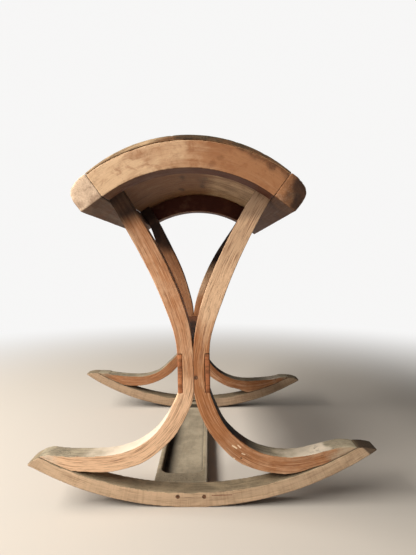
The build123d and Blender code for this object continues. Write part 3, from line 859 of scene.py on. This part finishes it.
def tray_paint(co, outward, seed):
    low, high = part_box("bottom_tray")
    x, y = co[:, 0], co[:, 1]
    up = smoothstep(0.3, 0.7, outward[:, 2])
    sunk = smoothstep(high.z - 1.5 * MM, high.z - 4 * MM, co[:, 2])
    floor = sunk * up
    shade = smoothstep(low.x + 40 * MM, low.x + 11 * MM, x + 1.5 * MM * ripples(co, 70 * MM, seed))
    near_end = y[floor > 0.5].min()
    wall = sunk * (x > low.x + 3 * MM) * (x < high.x - 3 * MM) * (1 - up)
    pale_rim = (1 - sunk) * smoothstep(high.x - 6 * MM, high.x - 2 * MM, x)
    edge = np.maximum(smoothstep(high.x - 15 * MM, high.x - 9 * MM, x), smoothstep(near_end + 9 * MM, near_end, y))
    spot = [(0.5 * (low.x + high.x) + 4 * MM, high.y - 14 * MM, high.z, 9 * MM, 0.9)]
    # Painted shade in the recess: the left wall's shadow across its floor, its inner walls, and the floor along the
    # right wall and the near end.
    return {
        "bleach_and_painted_light": 0.25 + 0.3 * floor + 0.7 * pale_rim,
        "weather": 0.8,
        "grime_and_painted_shade": np.maximum.reduce([0.97 * floor * shade, 0.75 * wall, 0.5 * floor * edge]),
        "stain": blots(co, spot, seed) + 0.1 + 0.12 * (1 - sunk) * smoothstep(low.y + 40 * MM, low.y + 5 * MM, y),
    }


def soft_rib(co):
    """A rib's upper edge is worn round, but for its ends against the rails."""
    lift = np.hypot(co[:, 0], co[:, 2] - seat_centre_z)
    top = smoothstep(lift.max() - 9 * MM, lift.max() - 1 * MM, lift)
    return 0.06 + 0.9 * top * smoothstep(0, 20 * MM, 122 * MM - np.abs(co[:, 0]))


def soft_rail(co):
    """The outer, lower edge of a rail is worn round."""
    side = np.sign(co[:, 0].mean())
    out = side * co[:, 0]
    return 0.05 + 0.9 * smoothstep(out.max() - 14 * MM, out.max(), out)


def soft_leg(co):
    """A leg's edges are rubbed round, but for those closed up in the waist."""
    waist = smoothstep(160 * MM, 175 * MM, co[:, 2]) * smoothstep(240 * MM, 226 * MM, co[:, 2])
    return 1 - 0.95 * waist


def soft_rocker(co):
    """A rocker's upper edges are worn round, its tips less."""
    return 0.16 + 0.5 * smoothstep(25 * MM, 60 * MM, co[:, 2]) * (np.abs(co[:, 0]) < 235 * MM)


PANEL_SEED, RIB_SEED, RAIL_SEED, LEG_SEED, ROCKER_SEED, STRETCHER_SEED, TRAY_SEED = 21, 31, 41, 51, 61, 71, 72

mesh, seat_centre_z = sheet_with_arcs("seat_panel")
panel_wear = worn(mesh, rounds=3, most=0.5 * MM)
uneven(mesh, panel_wear, PANEL_SEED, nicks=60)
keep_in_box(mesh, "seat_panel")
write_attribute(mesh, "wear", panel_wear)
mesh = cut(mesh, head_sockets("front_panel_pins") + head_sockets("rear_panel_pins"))
finished("seat_panel", mesh, arc_grain(seat_centre_z), panel_wood, PANEL_SEED, panel_paint)

for seed, node in enumerate(("front_arch_rib", "rear_arch_rib"), RIB_SEED):
    mesh = carved(node, prism(node), voxel=1.3 * MM, rounds=8, most=1.8 * MM, seed=seed, softness=soft_rib)
    finished(node, mesh, arc_grain(seat_centre_z), rib_wood, seed, rib_paint)

for seed, node in enumerate(("left_side_rail", "right_side_rail"), RAIL_SEED):
    mesh = carved(node, prism(node), voxel=1.5 * MM, rounds=8, most=1.8 * MM, seed=seed, softness=soft_rail)
    finished(node, mesh, straight_grain, rail_wood, seed, rail_paint)

for seed, (end, side) in enumerate((("front", -1), ("front", 1), ("rear", -1), ("rear", 1)), LEG_SEED):
    node = f"{end}_{'left' if side < 0 else 'right'}_leg"
    mesh = carved(node, prism(node), voxel=1.0 * MM, rounds=3, most=0.4 * MM, seed=seed, softness=soft_leg)
    if side > 0:
        mesh = cut(mesh, head_sockets(f"{end}_waist_nail"))
    wood = left_leg_wood if side < 0 else right_leg_wood
    finished(node, mesh, leg_grain(side), wood, seed, leg_paint(end, side))

for seed, end in enumerate(("front", "rear"), ROCKER_SEED):
    node = f"{end}_rocker"
    mesh = carved(node, prism(node), voxel=1.3 * MM, rounds=6, most=2.4 * MM, seed=seed, softness=soft_rocker)
    mesh = cut(mesh, head_sockets(f"{end}_tray_nails") + head_sockets(f"{end}_foot_nails"))
    finished(node, mesh, arc_grain(ROLL_CENTRE_Z), rocker_wood, seed, rocker_paint)

node = "waist_stretcher"
mesh = carved(node, plain_copy(node), voxel=1.2 * MM, rounds=1, most=0.1 * MM, seed=STRETCHER_SEED)
finished(node, mesh, straight_grain, stretcher_wood, STRETCHER_SEED, stretcher_paint)

node = "bottom_tray"
mesh = carved(node, plain_copy(node), voxel=1.5 * MM, rounds=4, most=0.8 * MM, seed=TRAY_SEED)
finished(node, mesh, straight_grain, tray_wood, TRAY_SEED, tray_paint)

for node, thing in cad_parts.items():
    if thing.hide_render:
        continue
    metal = node.endswith(("nails", "nail", "pins"))
    thing.data.materials.clear()
    thing.data.materials.append(iron if metal else round_wood)

# ---- floor, light and camera ----

LAMP_PLACE, LAMP_AIM = Vector((-1.5, -0.68, 1.46)), Vector((0, 0, 0.25))
CAMERA_PLACE = (0.0283, -0.8655, 0.3646)
ROOM_LEFT, ROOM_RIGHT = 0.32, 0.03  # strength of the room's light on each side
FADE_START, FADE_END = 0.55, 1.7    # how far out the floor turns white


def pale_floor():
    """A plain pale floor that fades to white far from the object."""
    g = Graph("pale_floor")
    distance = g.vector("LENGTH", g.position(), output="Value")
    g.shader.inputs["Base Color"].default_value = (0.58, 0.525, 0.455, 1)
    g.shader.inputs["Roughness"].default_value = 0.9
    glow = g.new("ShaderNodeEmission")
    glow.inputs["Color"].default_value = BACKDROP
    fade = g.new("ShaderNodeMixShader")
    g.feed(fade.inputs[0], g.ramp(distance, FADE_START, FADE_END))
    g.feed(fade.inputs[1], g.shader.outputs[0])
    g.feed(fade.inputs[2], glow.outputs[0])
    g.feed(g.tree.nodes["Material Output"].inputs["Surface"], fade.outputs[0])
    bm = bmesh.new()
    bmesh.ops.create_circle(bm, cap_ends=True, segments=96, radius=30)
    floor = bpy.data.objects.new("floor", to_mesh(bm, "floor"))
    floor.data.materials.append(g.material)
    add_to_scene(floor)


def light_the_scene():
    """A tall soft light from the upper left and a little in front, and a dim room that is white in the background."""
    window = bpy.data.lights.new("window", "AREA")
    window.shape = "RECTANGLE"
    window.size, window.size_y = 2.2, 0.85
    window.energy = 90
    window.color = (1.0, 0.975, 0.94)
    lamp = bpy.data.objects.new("window", window)
    away = (LAMP_PLACE - LAMP_AIM).normalized()
    along = (Vector((0, 1, 0)) - away * away.y).normalized()
    turn = Matrix((along, away.cross(along), away)).transposed()
    lamp.matrix_world = Matrix.Translation(LAMP_PLACE) @ turn.to_4x4()
    lamp.visible_camera = False
    add_to_scene(lamp)

    world = bpy.data.worlds.new("room")
    bpy.context.scene.world = world
    world.use_nodes = True
    nodes, links = world.node_tree.nodes, world.node_tree.links
    nodes.clear()
    where = nodes.new("ShaderNodeTexCoord")
    split = nodes.new("ShaderNodeSeparateXYZ")
    side = nodes.new("ShaderNodeMapRange")
    side.inputs["From Min"].default_value, side.inputs["From Max"].default_value = -1, 1
    side.inputs["To Min"].default_value, side.inputs["To Max"].default_value = ROOM_LEFT, ROOM_RIGHT
    room, white = nodes.new("ShaderNodeBackground"), nodes.new("ShaderNodeBackground")
    white.inputs["Color"].default_value = BACKDROP
    seen = nodes.new("ShaderNodeLightPath")
    mix, out = nodes.new("ShaderNodeMixShader"), nodes.new("ShaderNodeOutputWorld")
    links.new(where.outputs["Generated"], split.inputs[0])
    links.new(split.outputs["X"], side.inputs["Value"])
    links.new(side.outputs["Result"], room.inputs["Strength"])
    links.new(seen.outputs["Is Camera Ray"], mix.inputs[0])
    links.new(room.outputs[0], mix.inputs[1])
    links.new(white.outputs[0], mix.inputs[2])
    links.new(mix.outputs[0], out.inputs["Surface"])
    bpy.context.scene.view_settings.view_transform = "Standard"


def set_camera():
    """A level camera a little right of the middle, at two thirds of the seat's height."""
    data = bpy.data.cameras.new("camera")
    data.sensor_width = 36
    data.lens = 27.96
    data.shift_y = -0.0332
    data.clip_start = 0.01
    camera = bpy.data.objects.new("camera", data)
    turn = Matrix.Rotation(radians(0.12), 4, "Z")
    tilt = Matrix.Rotation(radians(90.13), 4, "X")
    roll = Matrix.Rotation(radians(-0.23), 4, "Z")
    camera.matrix_world = Matrix.Translation(CAMERA_PLACE) @ turn @ tilt @ roll
    add_to_scene(camera)
    bpy.context.scene.camera = camera


pale_floor()
light_the_scene()
set_camera()
